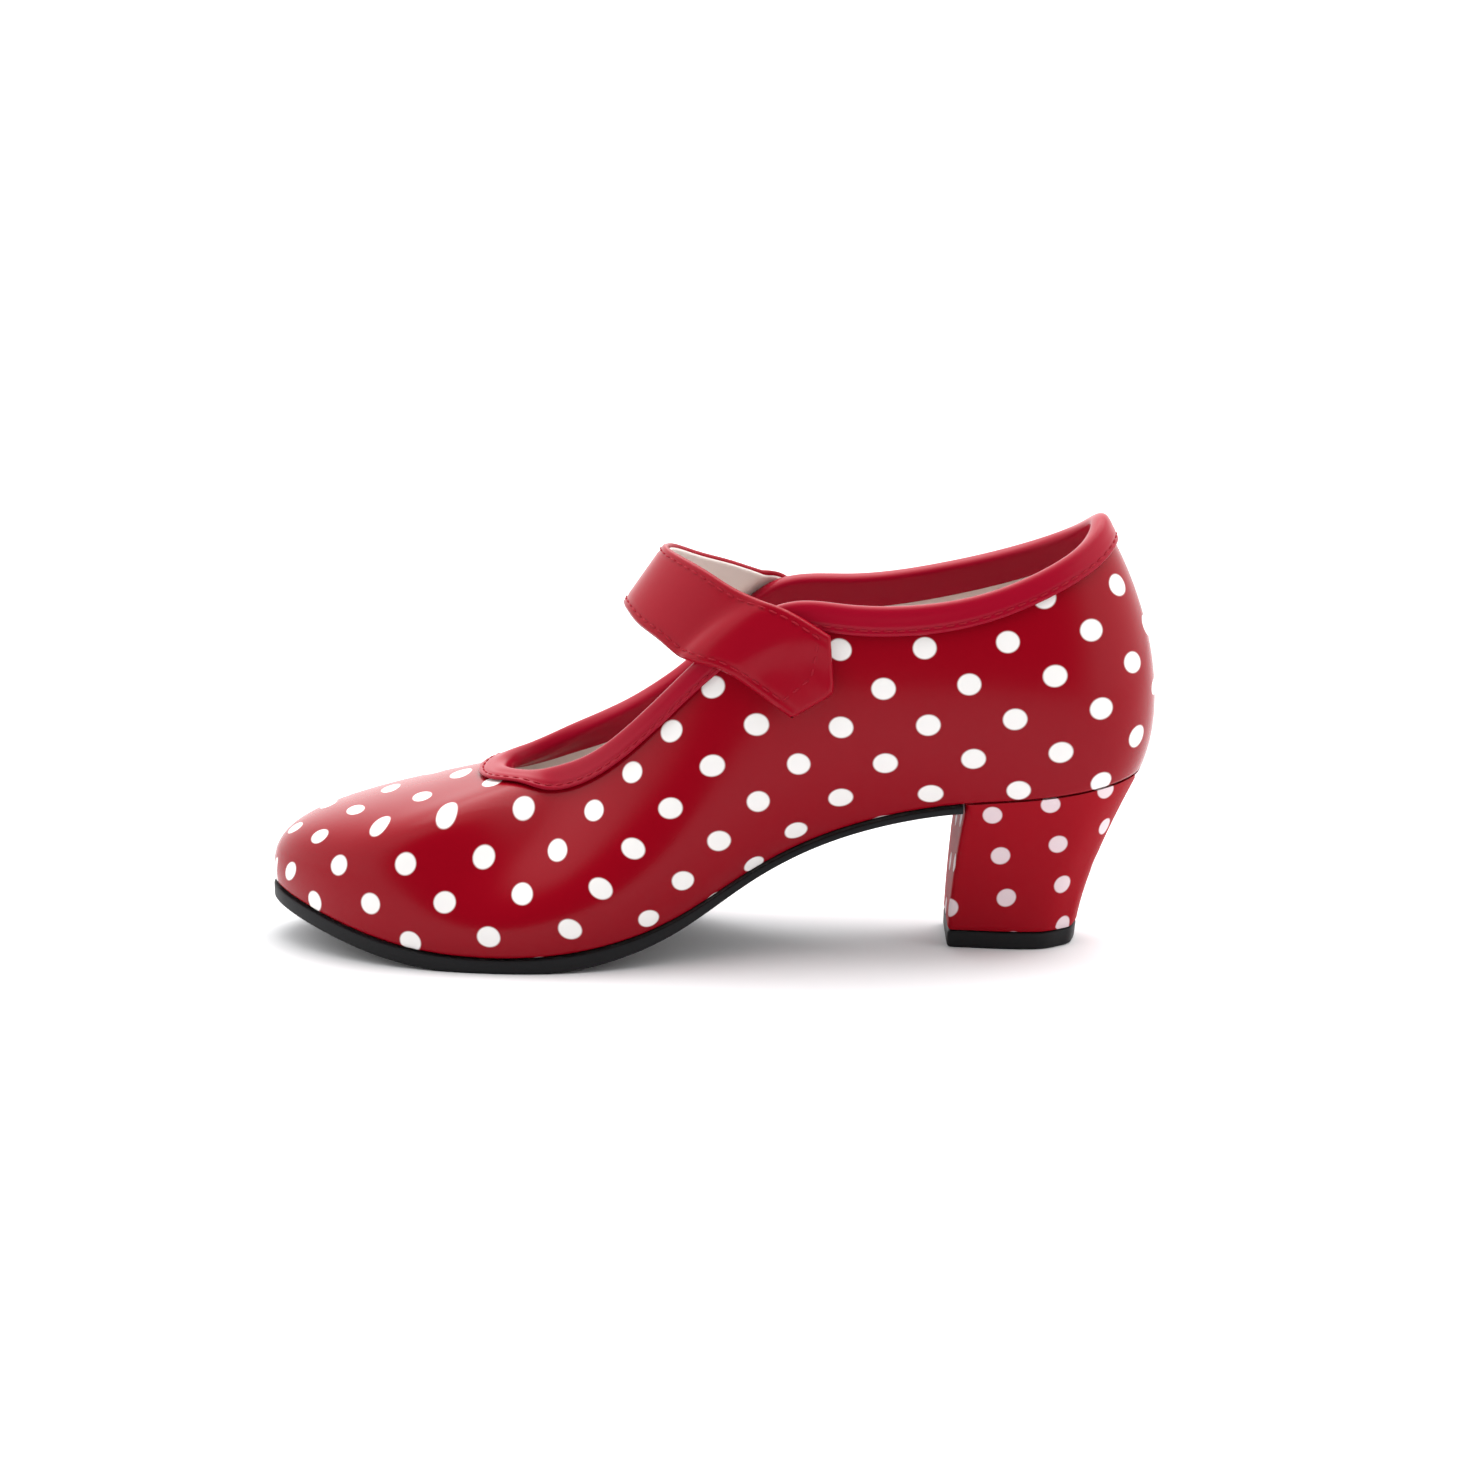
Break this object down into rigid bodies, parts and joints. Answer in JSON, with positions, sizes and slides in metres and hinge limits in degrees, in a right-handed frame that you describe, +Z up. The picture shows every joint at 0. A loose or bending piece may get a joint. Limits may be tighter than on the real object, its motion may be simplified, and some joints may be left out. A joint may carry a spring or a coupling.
{
  "type": "flamenco shoe",
  "caption": "Left flamenco shoe on a block heel: dotted court upper with a bound collar, an instep strap and a thin rubber sole.",
  "frame": {"origin": "middle of the flat face under the heel, on the floor", "axes": "+X to the heel, along the length of the shoe with the toe at -X; +Y to the inner side of the foot; +Z up"},
  "size_m": [0.2064, 0.0717, 0.1003],
  "materials": {
    "dotted_upper": "smooth coated red with round off-white dots, glossy",
    "dotted_heel_cover": "smooth coated red with round off-white dots, wrapped over the block",
    "red_binding": "plain red coated strip, folded and stitched",
    "red_strap": "plain red coated strap with stitched edges, beige lining",
    "insole_sock": "matt beige lining leather",
    "black_rubber": "matt black rubber"
  },
  "bodies": {
    "root": {"upper": "dotted_upper", "heel": "dotted_heel_cover", "collar_binding": "red_binding", "strap": "red_strap", "insole": "insole_sock", "outsole": "black_rubber", "heel_top_piece": "black_rubber"}
  },
  "joints": []
}
